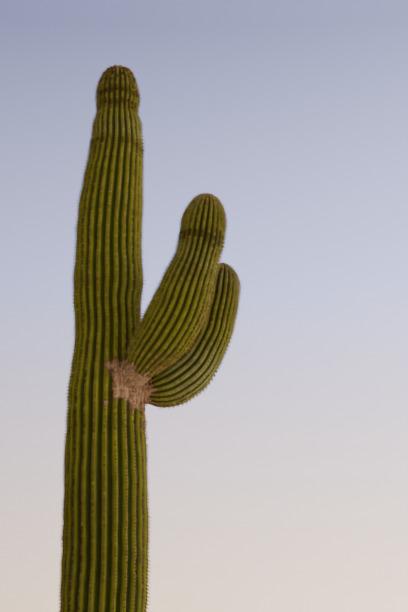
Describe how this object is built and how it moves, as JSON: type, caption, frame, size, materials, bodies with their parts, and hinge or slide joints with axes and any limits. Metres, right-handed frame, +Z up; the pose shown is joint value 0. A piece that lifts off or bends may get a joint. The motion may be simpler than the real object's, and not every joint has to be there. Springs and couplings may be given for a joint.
{
  "type": "saguaro cactus",
  "caption": "Tall ribbed columnar desert cactus rooted in level ground, with upturned arms on one side joined to the trunk by narrow corky necks.",
  "frame": {"origin": "centre of the flat cut under the trunk, at ground level", "axes": "+Z up along the trunk, +X towards the side that the arms grow on, -Y towards the side that the plant is seen from"},
  "size_m": [1.2282, 1.02, 6.154],
  "materials": {
    "trunk_skin": "waxy olive-green ribbed skin with rows of grey-tan spines, corky grey-brown at the foot",
    "arm_skin": "waxy yellow-green ribbed skin with rows of tan spines",
    "corky_neck": "dry, corky, pinkish-tan bark"
  },
  "bodies": {
    "root": {"trunk": "trunk_skin", "near_arm_neck": "corky_neck", "near_arm_elbow": "arm_skin", "near_arm_column": "arm_skin", "far_arm_neck": "corky_neck", "far_arm_elbow": "arm_skin", "far_arm_column": "arm_skin"}
  },
  "joints": []
}
